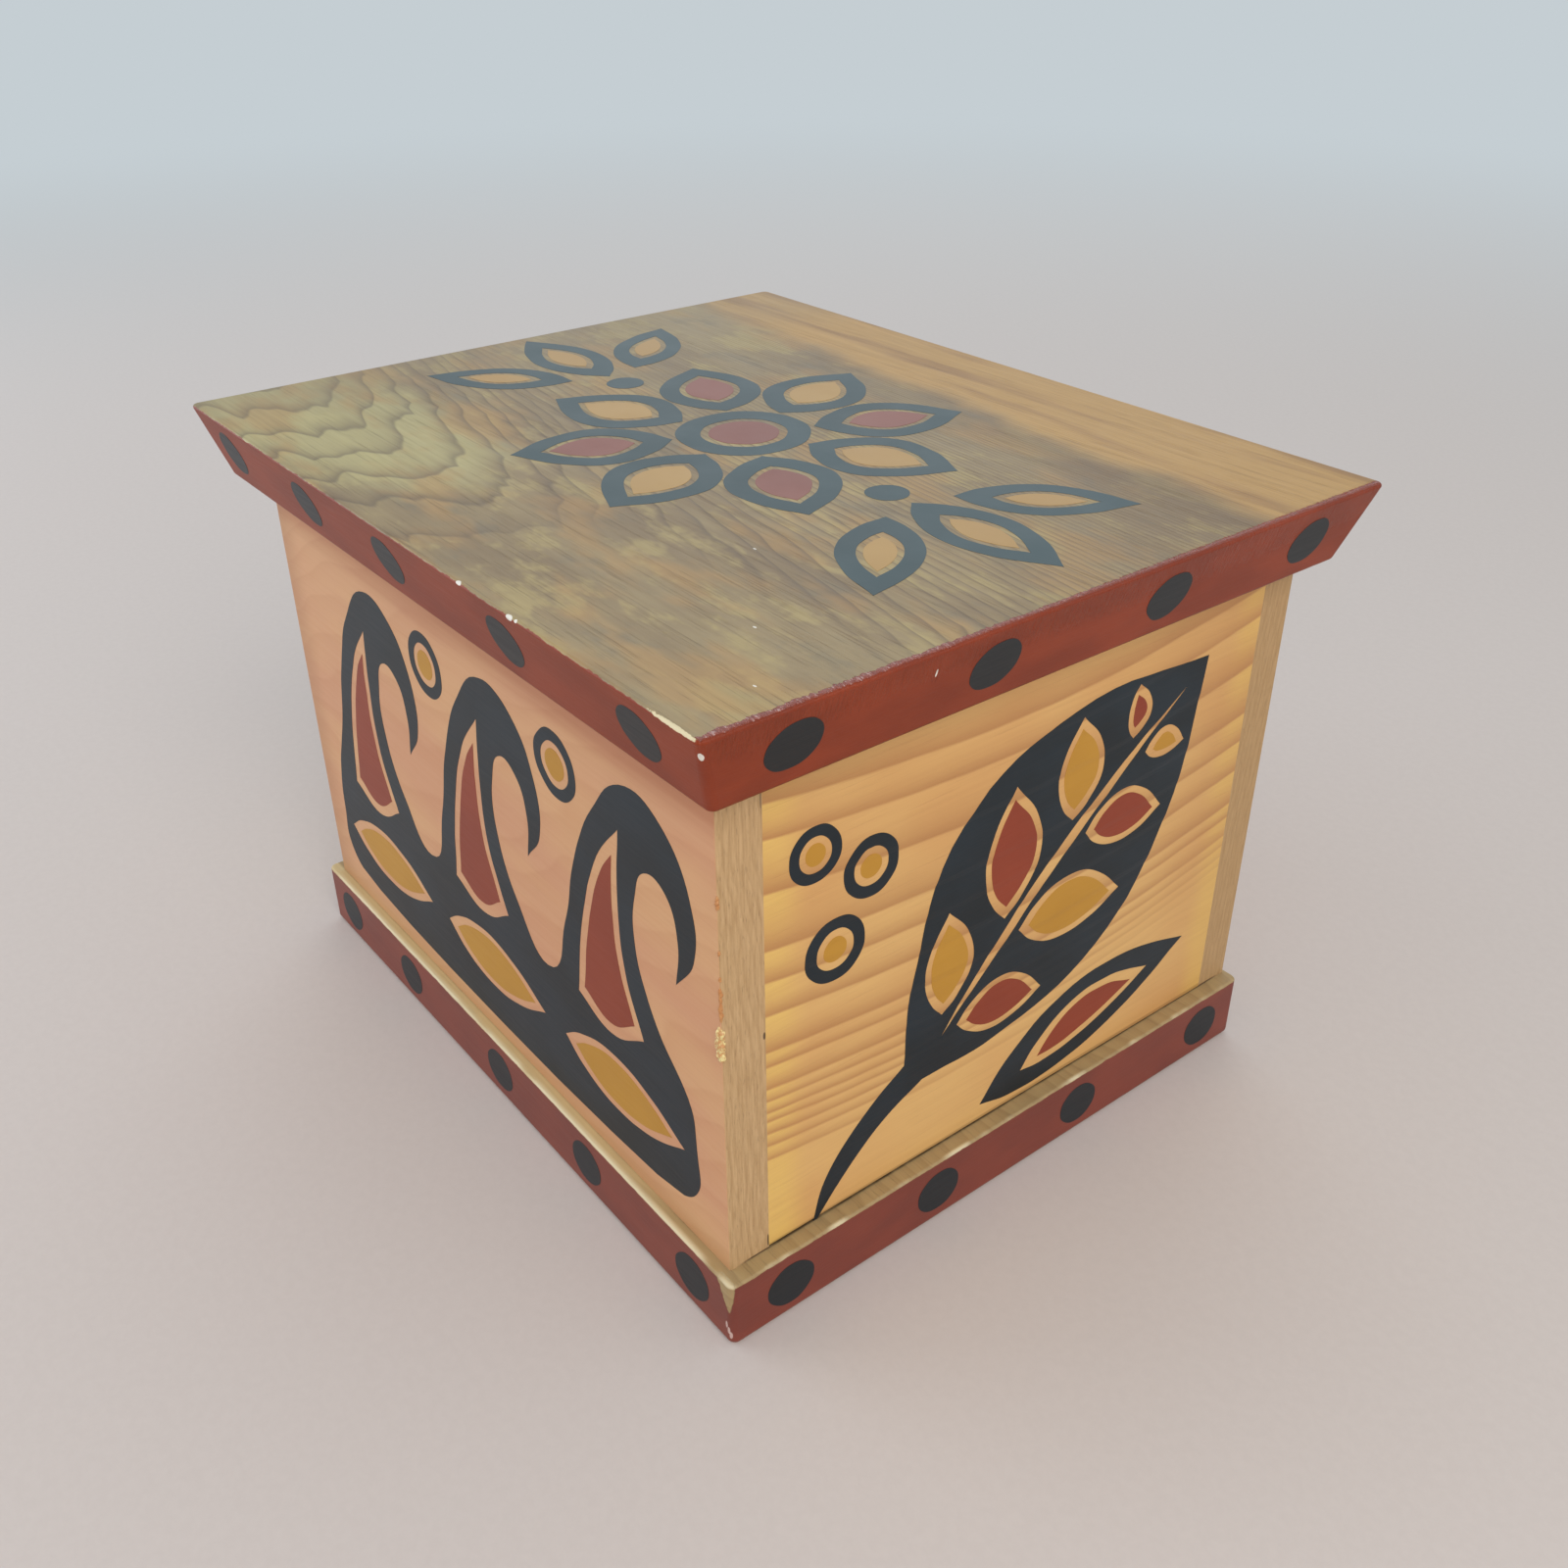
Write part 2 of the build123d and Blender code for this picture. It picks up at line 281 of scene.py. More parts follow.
def lid_wood(f):
    """Colour, roughness and relief of the lid's brown cedar, with its figure of pointed rings."""
    x, y, z = f.x, f.y, f.z
    heart = y - HEART_Y
    teeth = abs(f.noise(x * 0.012, y * 0.045, 0.0, 1.6, 0.5) - 0.5) * 90.0
    drift = (f.noise(x * 0.005, y * 0.010, 4.0, 2.0) - 0.5) * 60.0
    flatness = 44.0 - 19.0 * heart.smooth(-8.0, 12.0)
    rings = (x + teeth + drift - (LID_HIGH.z - z) * 3.0) / 34.0 + (heart / flatness) ** 2
    part = rings % 1.0
    fall = part.smooth(1.0, 0.9)
    line = part ** 7.0 * fall
    shade = part * part * fall
    left = x.smooth(60.0, -15.0)
    flank = heart.smooth(20.0, 46.0)
    strength = left.larger(flank)
    far_left = (x + y * 0.4).smooth(-40.0, -120.0)
    left_end = (x - y * 0.1).smooth(-105.0, -160.0)
    strength = strength * (1 - far_left * heart.smooth(60.0, 110.0) * 0.7)

    streaks, pores = fibres(f, x, y, z)
    broad = f.noise(x * 0.010, y * 0.022, 7.0, 3.0, 0.6)
    blotch = f.noise(x * 0.022, y * 0.045, 12.0, 4.0, 0.65)
    wood = f.mix(broad.smooth(0.35, 0.65), display(164, 142, 104), display(142, 120, 90))
    wood = f.mix(blotch.smooth(0.5, 0.62) * 0.6, wood, display(188, 166, 112))
    wood = f.mix(blotch.smooth(0.46, 0.32) * 0.5, wood, display(122, 112, 94))
    off_x, off_y = (x + 112.0) / 96.0, (y + 112.0) / 52.0
    bright = (off_x * off_x + off_y * off_y + (broad - 0.5) * 1.8).smooth(1.2, 0.2)
    wood = f.mix(bright * 0.75, wood, display(192, 180, 128))
    warm = f.noise(x * 0.016, y * 0.034, 21.0, 3.0, 0.6).smooth(0.48, 0.64)
    wood = f.mix(warm * 0.55, wood, display(184, 142, 88))

    wave = (f.noise(x * 0.011, y * 0.004, 2.0, 3.0, 0.6) - 0.5) * 46.0
    edge = y + wave + x * 0.06
    sap = edge.smooth(80.0, 96.0)
    rim = edge.smooth(62.0, 84.0) * edge.smooth(93.0, 87.0) * (x + y * 0.3).smooth(-60.0, 90.0)
    wood = f.mix(rim * 0.45, wood, display(112, 88, 68))
    sap_rings = f.noise(x * 0.009, y * 0.09, 5.0, 3.0).smooth(0.48, 0.72)
    sap_tone = f.mix(sap_rings, display(196, 152, 90), display(164, 122, 74))
    wood = f.mix(sap, wood, sap_tone)
    wood = f.mix(shade * strength * (0.4 - 0.25 * sap), wood, display(120, 94, 74))
    wood = f.mix(line * strength * (0.75 - 0.5 * sap), wood, display(86, 76, 66))
    wood = f.mix((streaks - 0.35) * 0.45, wood, display(116, 92, 68))
    wood = f.mix(pores * 0.4, wood, display(92, 72, 54))
    wood = f.mix(left_end * 0.3, wood, display(148, 130, 104))
    wood = f.mix((x + y).smooth(60.0, 250.0) * (1 - sap) * 0.25, wood, display(136, 108, 72))
    for place in LID_FLECKS:
        wood = f.mix(f.patch((*place, LID_HIGH.z), (0.8, 0.4, 2.0)) * 0.8, wood, CHALKY)
    roughness = 0.34 + streaks * 0.12 + blotch * 0.08
    height = streaks * 0.05 - pores * 0.06 - line * strength * 0.06
    return wood, roughness, height


def lid_finish():
    """Brown cedar on top and below, and red painted edges that are chipped in places."""
    f = Finish("lid_cedar")
    x, y, z = f.x, f.y, f.z
    wood, wood_rough, wood_height = lid_wood(f)
    red, red_rough, red_height = red_coat(f)
    brushed = (f.noise(x * 0.16, y * 0.16, 3.0, 3.0, 0.7) - 0.5) * 1.5
    hairs = (f.noise(x * 0.12, y * 1.3, 5.0, 3.0, 0.75) - 0.5) * 4.5
    below_top = LID_HIGH.z - z + brushed
    lap = (x - LID_HIGH.x + hairs + y.smooth(-60.0, 60.0) * 0.8).smooth(-LAP_INNER, 0.4 - LAP_INNER)
    lap = lap * z.smooth(LID_LOW.z + 2.0, LID_LOW.z + 3.0)
    painted = below_top.smooth(0.35, 0.6) * (z - LID_LOW.z + brushed * 0.6).smooth(0.5, 0.9)
    painted = painted.larger(lap)
    worn_end = f.patch((*LID_WORN_END, LID_HIGH.z), (13.0, 1.1, 1.0), 1.5)
    colour = f.mix(painted, wood, red)
    colour = f.mix(worn_end, colour, BARE)
    # Chalky marks: chips, and on the front edge painted glints as well.
    for place, half in LID_CHIPS_AND_GLINTS:
        colour = f.mix(f.patch(place, half), colour, CHALKY)
    roughness = painted * (red_rough - lap * 0.12) + (1 - painted) * wood_rough
    height = painted * (red_height + lap * hairs * 0.12) + (1 - painted) * wood_height
    return f.finish(colour, roughness, height, Specular_IOR_Level=LID_COAT_GLOSS)


CHIP_FOOT = 13.0  # the bare chip at the base's front corner runs from here up to the ledge
CHIP_WIDTH = 8.0
# A pale scratch below the chip, as a row of spots.
SCRATCH = [(153.2, -131.5, 9.0), (154.2, -131.5, 6.8), (155.0, -131.4, 4.8)]


def base_finish():
    """Pale cedar ledge with worn edges, red painted sides and a chip at the front corner."""
    f = Finish("base_cedar")
    x, y, z = f.x, f.y, f.z
    streaks, pores = fibres(f, x, y, z)
    rings = y * 0.12 + z * 0.2 + f.noise(x * 0.008, y * 0.03, z * 0.03) * 6.0
    wood = f.mix(ring_tone(rings, 0.1) * 0.5, display(178, 150, 104), display(142, 112, 72))
    wood = f.mix(streaks * 0.4, wood, display(152, 122, 82))
    wood = f.mix(pores * 0.3, wood, display(126, 94, 60))
    ragged = (f.even_noise(0.2, 3.0, 0.7) - 0.5) * 1.2
    torn = (f.even_noise(0.35, 3.0, 0.7) - 0.5) * 3.4
    near_top = (z - BASE_HIGH.z + ragged * 0.6).smooth(-1.6, -0.5)
    front_edge = (y - BASE_LOW.y).smooth(2.6, 0.8) * f.noise(x * 0.03, 3.0, 1.0, 2.0).smooth(0.35, 0.5)
    right_edge = (BASE_HIGH.x - x).smooth(1.8, 0.6) * f.noise(y * 0.05, 8.0, 1.0, 2.0).smooth(0.5, 0.65)
    worn = near_top * front_edge.larger(right_edge)
    front_ledge = y.smooth(0.5 - WALL_FACE, -1.0 - WALL_FACE) * x.smooth(WALL_END, 60.0)
    wood = f.mix(front_ledge * 0.6, wood, display(222, 196, 142))
    wood = f.mix(worn * 0.8, wood, BARE)
    # Painted shade: a dark line on the ledge under the end panels' gap, running just past the wall's end.
    beside_panel = abs(y).smooth(PANEL_HIGH.y + 13.0, PANEL_HIGH.y + 7.0)
    below_panel = abs(x).smooth(PANEL_LOW.x + 1.0, PANEL_LOW.x + 2.0)
    crevice_shade = beside_panel * below_panel * abs(x).smooth(WALL_END + 0.6, WALL_END - 0.3)
    uneven = f.noise(x * 0.05, y * 0.14, 6.0, 3.0, 0.6).smooth(0.35, 0.6)
    wood = f.mix(crevice_shade * (0.5 + uneven * 0.35), wood, display(64, 42, 20))

    red, red_rough, red_height = red_coat(f)
    red = f.mix(0.34, red, display(88, 40, 44))
    below_top = BASE_HIGH.z - z + ragged
    painted = below_top.smooth(0.8, 1.1) * (z + ragged).smooth(0.1, 0.5)
    up_chip = (z - CHIP_FOOT) / (BASE_HIGH.z - CHIP_FOOT)
    chip = (BASE_HIGH.x - x + torn - up_chip ** 0.8 * CHIP_WIDTH).smooth(0.2, -0.2)
    chip = chip * (y - BASE_LOW.y + ragged - up_chip * 2.0).smooth(0.2, -0.2) * up_chip.smooth(0.0, 0.05)
    rubbed = 0.0
    for place in SCRATCH:
        rubbed = f.patch(place, (0.6, 1.2, 1.7), 0.8) + rubbed
    painted = painted * (1 - chip)
    colour = f.mix(painted, wood, red)
    colour = f.mix(rubbed * 0.7, colour, display(226, 196, 184))
    roughness = painted * red_rough + (1 - painted) * (0.5 + streaks * 0.15)
    height = painted * red_height + (1 - painted) * (streaks * 0.06 - pores * 0.08) - chip * 0.25
    return f.finish(colour, roughness, height, Specular_IOR_Level=BASE_COAT_GLOSS)


PIT_HEIGHT = 120.7
TOP_SPLIT_HEIGHT = 207.0


def wall_finish():
    """Smooth orange-pink cedar, with darker end grain at the two ends of the board."""
    f = Finish("wall_cedar")
    x, y, z = f.x, f.y, f.z
    streaks, pores = fibres(f, x, z, y)
    bend = f.noise(x * 0.006, z * 0.012, y * 0.02, 2.0) * 7.0
    rings = z * 0.06 + y * 0.5 - x * 0.02 + bend
    tones = f.noise(x * 0.008, y * 0.02, z * 0.03, 3.0).smooth(0.35, 0.65)
    face = f.mix(tones, display(220, 168, 120), display(214, 156, 116))
    face = f.mix(ring_tone(rings, 0.12) * 0.25, face, display(190, 122, 80))
    face = f.mix((streaks - 0.3) * 0.4, face, display(204, 132, 90))
    face = f.mix(pores * 0.15, face, display(160, 96, 62))
    # Painted shade: a darker orange-brown band on the outer faces under the lid's overhang, for its
    # shadow and for red light thrown back from the lid's edge.
    rise = z + (f.noise(x * 0.01, 0.0, z * 0.2, 2.0) - 0.5) * 10.0
    lid_overhang_shade = rise.smooth(LID_LOW.z - 20.5, LID_LOW.z - 10.5)
    outside = abs(y).smooth(WALL_FACE - 0.8, WALL_FACE - 0.2)
    left_strip = x.smooth(20.0 - WALL_END, -WALL_END)
    foot = z.smooth(WALL_FOOT + 13.5, WALL_FOOT + 1.5)
    face = f.mix(lid_overhang_shade * outside * 0.45, face, display(170, 88, 44))
    face = f.mix(left_strip * 0.5, face, display(178, 124, 84))
    # Painted shade: darker and yellower towards the wall's foot, where it meets the ledge.
    face = f.mix(foot * 0.35, face, display(188, 146, 92))
    grain = f.noise(x * 0.4, y * 1.2, z * 0.08, 4.0, 0.65)
    vessels = f.noise(x * 0.4, y * 3.2, z * 0.22, 2.0, 0.6).smooth(0.6, 0.75)
    high = z / 100.0 - 1.0
    arcs = (abs(y) - z * 0.08 - high * high * 5.0 + f.noise(3.0, y * 0.05, z * 0.03, 2.0) * 9.0) / 2.9
    end = f.mix(grain.smooth(0.3, 0.75), display(206, 168, 122), display(182, 144, 98))
    end = f.mix(ring_tone(arcs, 0.25) * 0.38, end, display(150, 112, 70))
    end = f.mix(y.smooth(60.0, 112.0) * 0.38, end, display(162, 124, 78))
    end = f.mix(vessels * 0.4, end, display(132, 98, 64))
    # Painted shade: a dark line at the bottom of the end grain near the panel's seam.
    gap = (z - WALL_FOOT).smooth(0.9, 0.4) * abs(y).smooth(PANEL_HIGH.y + 14.0, PANEL_HIGH.y + 6.0)
    seam = PANEL_LOW.y
    split = f.patch((WALL_END, seam - 0.3, WALL_FOOT + 4.0), (2.0, 0.4, 2.8), 0.5)
    pit = f.patch((WALL_END, seam - 0.5, PIT_HEIGHT), (2.0, 0.5, 1.5), 0.6)
    top_split = f.patch((WALL_END, seam - 0.5, TOP_SPLIT_HEIGHT), (2.0, 0.35, 5.0), 0.6) * 0.6
    # The gap line is painted shade; the splits and the pit are cracks in the wood.
    for dark in (gap, split, pit, top_split):
        end = f.mix(dark * 0.85, end, display(66, 44, 26))
    at_end = abs(x).smooth(WALL_END - 0.7, WALL_END - 0.2)
    colour = f.mix(at_end, face, end)
    roughness = 0.42 + at_end * 0.15 + streaks * 0.1
    height = (1 - at_end) * (streaks * 0.04) - at_end * (vessels * 0.08) + grain * 0.03
    return f.finish(colour, roughness, height)


def panel_finish():
    """Golden cedar of an end panel, with broad sagging rings that stand a little proud."""
    f = Finish("end_panel_cedar")
    x, y, z = f.x, f.y, f.z
    across = y / PANEL_HIGH.y
    wander = (f.noise(x * 0.01, y * 0.02, z * 0.05, 2.0) - 0.5) * 2.2
    depth = panel_depth(across, PANEL_HIGH.z - z)
    fade = (depth + across * PANEL_LEAN).smooth(172.0, 128.0)
    tone = panel_ring_tone(depth + wander) * fade
    streaks, pores = fibres(f, y, z, x)
    patches = f.noise(0.0, y * 0.01, z * 0.02, 2.0).smooth(0.35, 0.65)
    wood = f.mix(patches, display(226, 178, 110), display(218, 164, 100))
    near_seam = (abs(across) + wander * 0.025).smooth(0.84, 0.96)
    wood = f.mix(near_seam * (1 - tone) * 0.7, wood, display(236, 194, 104))
    wood = f.mix(tone * 0.7, wood, display(172, 112, 62))
    wood = f.mix((streaks - 0.35) * 0.5, wood, display(196, 138, 84))
    wood = f.mix(pores * 0.2, wood, display(160, 104, 58))
    # Painted shade: darker along the panel's foot, over its gap above the ledge.
    foot = (z - WALL_FOOT - PANEL_GAP_FRONT).smooth(1.3, 0.2)
    wood = f.mix(foot * 0.4, wood, display(110, 72, 38))
    # Painted shade: darker towards the rear seam.
    wood = f.mix(y.smooth(50.0, 111.0) * 0.22, wood, display(186, 126, 70))
    roughness = 0.4 + streaks * 0.14
    height = streaks * 0.05 - pores * 0.03
    return f.finish(wood, roughness, height)


def plain_wood(name, light, dark, along):
    """Unfinished wood of the inner strips and dowels. along is the axis that the grain follows."""
    f = Finish(name)
    axes = {"x": (f.x, f.y, f.z), "y": (f.y, f.z, f.x)}
    streaks, pores = fibres(f, *axes[along])
    rings = f.z * 0.22 + f.y * 0.11 + f.x * 0.11 + f.noise(f.x * 0.01, f.y * 0.01, f.z * 0.05) * 4.0
    wood = f.mix(ring_tone(rings, 0.1) * 0.6, light, dark)
    wood = f.mix(streaks * 0.4, wood, dark)
    wood = f.mix(pores * 0.3, wood, display(110, 76, 48))
    return f.finish(wood, 0.62 + streaks * 0.15, streaks * 0.08 - pores * 0.06)


def paint_finish(name, main, worn, sheen, gloss=0.35):
    """Brushed paint: slow changes of tone, fine strokes along the grain and a soft shine. On the blacks
    the second, bluish tone of the strokes and patches is partly a painted sheen.
    """
    f = Finish(name)
    x, y, z = f.x, f.y, f.z
    patches = f.noise(x * 0.02, y * 0.02, z * 0.035, 3.0)
    strokes = f.noise(x * 0.04, y * 0.04, z * 0.7, 4.0, 0.65)
    specks = f.even_noise(1.7).smooth(0.7, 0.8)
    # worn is the second tone: partly wear, and for the black paints partly a painted bluish sheen.
    colour = f.mix(patches.smooth(0.3, 0.7) * 0.6, main, worn)
    colour = f.mix(strokes.smooth(0.5, 0.8) * 0.35, colour, worn)
    colour = f.mix(specks * 0.25, colour, worn)
    roughness = sheen + strokes * 0.14
    height = strokes * 0.06 + patches * 0.1
    return f.finish(colour, roughness, height, Specular_IOR_Level=gloss)


def bead_finish():
    """Thick, hairy red paint: many small glints, and pale pinkish-white flecks towards the front that are
    partly dry fibres and partly painted glints.
    """
    f = Finish("bead_paint")
    x, y, z = f.x, f.y, f.z
    hairs = f.noise(x * 0.5, y * 1.7, z * 0.6, 3.0, 0.7)
    # Painted highlight in part: the pale flecks, strongest at the front, stand in for glints as well as
    # dry fibres.
    dry = hairs.smooth(0.56, 0.64) * y.smooth(70.0, -120.0)
    colour = f.mix(hairs.smooth(0.35, 0.6), display(132, 52, 34), display(156, 76, 58))
    colour = f.mix(dry * 0.7, colour, display(214, 184, 178))
    return f.finish(colour, 0.2 + hairs * 0.1, hairs * 0.7, Specular_IOR_Level=0.7)


CRUMBLY_BELOW = 134.0  # the glue at the front corner is crumbly from this height down


def glue_finish():
    """Dried glue: amber and glossy, and pale and crumbly lower down."""
    f = Finish("dried_glue")
    crumbs = f.even_noise(0.9, 3.0, 0.6)
    low = f.z.smooth(CRUMBLY_BELOW, CRUMBLY_BELOW - 4.0)
    colour = f.mix(crumbs.smooth(0.35, 0.65), display(206, 146, 90), display(190, 124, 70))
    colour = f.mix(crumbs.smooth(0.4, 0.6) * low, colour, display(238, 216, 150))
    return f.finish(colour, 0.3 + crumbs * 0.2, crumbs * 0.3)


def screw_finish():
    """Yellow-passivated steel, dull in the hollows."""
    f = Finish("screw_steel")
    tarnish = f.even_noise(0.5, 3.0)
    colour = f.mix(tarnish.smooth(0.35, 0.7), display(206, 190, 140), display(150, 132, 96))
    return f.finish(colour, 0.3 + tarnish * 0.25, tarnish * 0.02, Metallic=1.0)


BLACK_PAINT = paint_finish("black_paint", display(18, 27, 32), display(30, 44, 54), 0.36)
RED_PAINT = paint_finish("red_paint", display(146, 60, 34), display(132, 52, 30), 0.38)
OCHRE_PAINT = paint_finish("ochre_paint", display(194, 140, 48), display(182, 128, 40), 0.38)
# The lid's paints are paler, bluer copies of the three paints: partly faded paint and partly a painted
# sheen of the cool surroundings.
LID_BLACK_WITH_SHEEN = paint_finish("lid_black_paint", display(28, 52, 55), display(38, 64, 68), 0.34, 0.5)
LID_RED_WITH_SHEEN = paint_finish("lid_red_paint", display(140, 78, 62), display(126, 68, 54), 0.36, 0.5)
LID_OCHRE_WITH_SHEEN = paint_finish("lid_ochre_paint", display(184, 142, 76), display(172, 130, 66), 0.36, 0.5)
DOT_PAINT = paint_finish("dot_paint", display(11, 18, 23), display(21, 30, 36), 0.4, 0.48)
BEAD_PAINT = bead_finish()
GLUE = glue_finish()

CLEAT_LIGHT = display(200, 150, 104)
CLEAT_DARK = display(150, 98, 60)
NODE_FINISHES = {
    "base_board": base_finish(),
    "lid_board": lid_finish(),
    "corner_dowels": plain_wood("dowel_wood", display(216, 186, 138), display(180, 146, 100), "y"),
    "base_screws": screw_finish(),
}
NODE_FINISHES["cleat_screws"] = NODE_FINISHES["base_screws"]
NODE_FINISHES["front_wall"] = NODE_FINISHES["back_wall"] = wall_finish()
for side, along in (("front", "x"), ("back", "x"), ("left", "y"), ("right", "y")):
    NODE_FINISHES[f"lid_cleat_{side}"] = plain_wood(f"cleat_{side}", CLEAT_LIGHT, CLEAT_DARK, along)
PANEL_FINISH = panel_finish()

for node, finish in NODE_FINISHES.items():
    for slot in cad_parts[node].material_slots:
        slot.material = finish


# Modelling helpers


def select_only(piece):
    bpy.ops.object.select_all(action="DESELECT")
    piece.select_set(True)
    bpy.context.view_layer.objects.active = piece


def add_block(name, low, high):
    """A cube primitive that fills the box between two corners, given in millimetres."""
    bpy.ops.mesh.primitive_cube_add(size=1.0, location=(low + high) / 2 * MM, scale=(high - low) * MM)
    block = bpy.context.active_object
    block.name = block.data.name = name
    bpy.ops.object.transform_apply()
    return block


def select_faces(piece, wanted):
    """Selects the faces that a test on their centre and normal picks out, in face mode."""
    bpy.ops.object.mode_set(mode="EDIT")
    bpy.ops.mesh.select_mode(type="FACE")
    bpy.ops.mesh.select_all(action="DESELECT")
    bpy.ops.object.mode_set(mode="OBJECT")
    for face in piece.data.polygons:
        face.select = wanted(face.center / MM, face.normal)
    bpy.ops.object.mode_set(mode="EDIT")


def leave_edit(piece):
    bpy.ops.object.mode_set(mode="OBJECT")
    piece.select_set(False)


def face_outwards(merge=0.0):
    """Turns the active piece's faces outwards. merge, in millimetres, first joins close points."""
    bpy.ops.object.mode_set(mode="EDIT")
    bpy.ops.mesh.select_all(action="SELECT")
    if merge:
        bpy.ops.mesh.remove_doubles(threshold=merge * MM)
    bpy.ops.mesh.normals_make_consistent(inside=False)
    bpy.ops.object.mode_set(mode="OBJECT")


def joined(pieces):
    """Several pieces made one."""
    select_only(pieces[0])
    for piece in pieces[1:]:
        piece.select_set(True)
    bpy.ops.object.join()
    return bpy.context.active_object


def mesh_from(curve, finish):
    """Makes a curve into a mesh piece with one finish."""
    piece = bpy.data.objects.new(curve.name, curve)
    bpy.context.scene.collection.objects.link(piece)
    select_only(piece)
    bpy.ops.object.convert(target="MESH")
    piece = bpy.context.active_object
    piece.data.materials.clear()
    piece.data.materials.append(finish)
    return piece


def turned_to(origin, right, up, out):
    """The matrix that puts a thing at a place in metres, with its axes along three directions."""
    return Matrix.Translation(origin) @ Matrix((right, up, out)).transposed().to_4x4()


# End panels with standing rings

RIPPLE_HEIGHT = 0.3
RIPPLE_WIDTH = 14.0  # a ring narrower than this stands lower
RIPPLE_FALL = 2.4  # each ring drops back to the surface over this distance
RIPPLE_EDGE = 5.0  # over this distance from the panel's sides the ripples run out
RIPPLE_FOOT = 160.0  # they also run out towards this depth,
RIPPLE_FADE = 40.0  # over this distance
PANEL_CUTS = 149


def ripple(y, z):
    """How far an end panel's face stands proud at a place, in millimetres."""
    across = y / PANEL_HIGH.y
    depth = panel_depth(across, PANEL_HIGH.z - z)
    wave = 0.0
    for upper, lower in zip(PANEL_RINGS, PANEL_RINGS[1:]):
        if upper <= depth < lower:
            width = lower - upper
            part = (depth - upper) / width
            wave = part ** 1.5 * min(1.0, (lower - depth) / RIPPLE_FALL) * min(1.0, width / RIPPLE_WIDTH)
    fade = clamped((RIPPLE_FOOT - depth - across * PANEL_LEAN) / RIPPLE_FADE)
    side = min(PANEL_HIGH.y - abs(y), PANEL_HIGH.z - z, z - PANEL_LOW.z)
    return RIPPLE_HEIGHT * wave * fade * clamped(side / RIPPLE_EDGE)


def raise_ripples(piece):
    """Moves the points at the right panel's outer face out to the rippled surface."""
    for point in piece.data.vertices:
        x, y, z = point.co / MM
        if abs(x - PANEL_HIGH.x) < 0.5:
            point.co.x += ripple(y, z) * MM


def mirrored_copy(piece, name):
    """The same piece for the left end."""
    select_only(piece)
    bpy.ops.object.duplicate()
    other = bpy.context.active_object
    other.name = other.data.name = name
    other.scale.x = -1
    bpy.ops.object.transform_apply(location=False, rotation=False, scale=True)
    face_outwards()
    return other


def make_right_panel():
    """The right end panel, with a finely divided outer face and a foot that tapers towards the back."""
    low, high = reach("right_end_panel")
    panel = add_block("right_end_board", low, high)
    select_faces(panel, lambda centre, normal: normal.x > 0.9)
    bpy.ops.mesh.subdivide(number_cuts=PANEL_CUTS)
    leave_edit(panel)
    raise_ripples(panel)
    for point in panel.data.vertices:
        if point.co.z / MM < low.z + 0.1:
            share = (point.co.y / MM - low.y) / (high.y - low.y)
            gap = PANEL_GAP_FRONT + (PANEL_GAP_BACK - PANEL_GAP_FRONT) * share
            point.co.z = (WALL_FOOT + gap) * MM
    panel.data.materials.append(PANEL_FINISH)
    select_only(panel)
    bpy.ops.object.shade_smooth_by_angle(angle=radians(30))
    return panel


right_board = make_right_panel()
left_board = mirrored_copy(right_board, "left_end_board")
for board, node in ((right_board, "right_end_panel"), (left_board, "left_end_panel")):
    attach(board, "case")
    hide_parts(node)


# Outlines for paint. A knot is (x, y) on a smooth run or (x, y, SHARP) at a corner.

SHARP = True
LEAF_EDGE = [(0.14, 0.56), (0.42, 1.0), (0.72, 0.76)]  # share of the length, and of half the width there
DISC_KNOTS = 8


def leaf(base, tip, width, bend=0.0, inset=0.0):
    """A pointed leaf. bend bows it to the left of its axis, and inset draws the outline inwards."""
    base, tip = Vector(base), Vector(tip)
    axis = (tip - base).normalized()
    left = Vector((-axis.y, axis.x))
    slim = (tip - base).length / width
    base, tip = base + axis * inset * slim * 0.9, tip - axis * inset * slim * 0.9
    half = width / 2 - inset

    def edge(share, out):
        bow = bend * sin(pi * share)
        return tuple(base.lerp(tip, share) + left * (bow + out * half))

    there = [edge(share, out) for share, out in LEAF_EDGE]
    back = [edge(share, -out) for share, out in reversed(LEAF_EDGE)]
    return [(*base, SHARP), *there, (*tip, SHARP), *back]


def disc(centre, radius, squash=1.0):
    """A round spot, drawn by hand: a little uneven. squash makes it less high than wide."""
    x, y = centre
    knots = []
    for step in range(DISC_KNOTS):
        angle = 2 * pi * step / DISC_KNOTS
        uneven = 1 + 0.035 * noise.noise(Vector((x, y, step * 0.9)))
        knots.append((x + radius * uneven * cos(angle), y + radius * squash * uneven * sin(angle)))
    return knots


def shifted(knots, along):
    """The same outline, further to the right."""
    return [(knot[0] + along, *knot[1:]) for knot in knots]


FILM = 0.14  # paint thickness, of which a little is soaked into the wood
FILM_SUNK = 0.05
FILM_MERGE = 0.005  # closer points are made one
WAVER = 0.35  # how far a brushed outline strays
WAVER_RATE = 0.09  # how often, per millimetre
WAVER_TURN = Vector((31.4, 17.9, 5.3))  # sets the sideways stray apart from the lengthways one


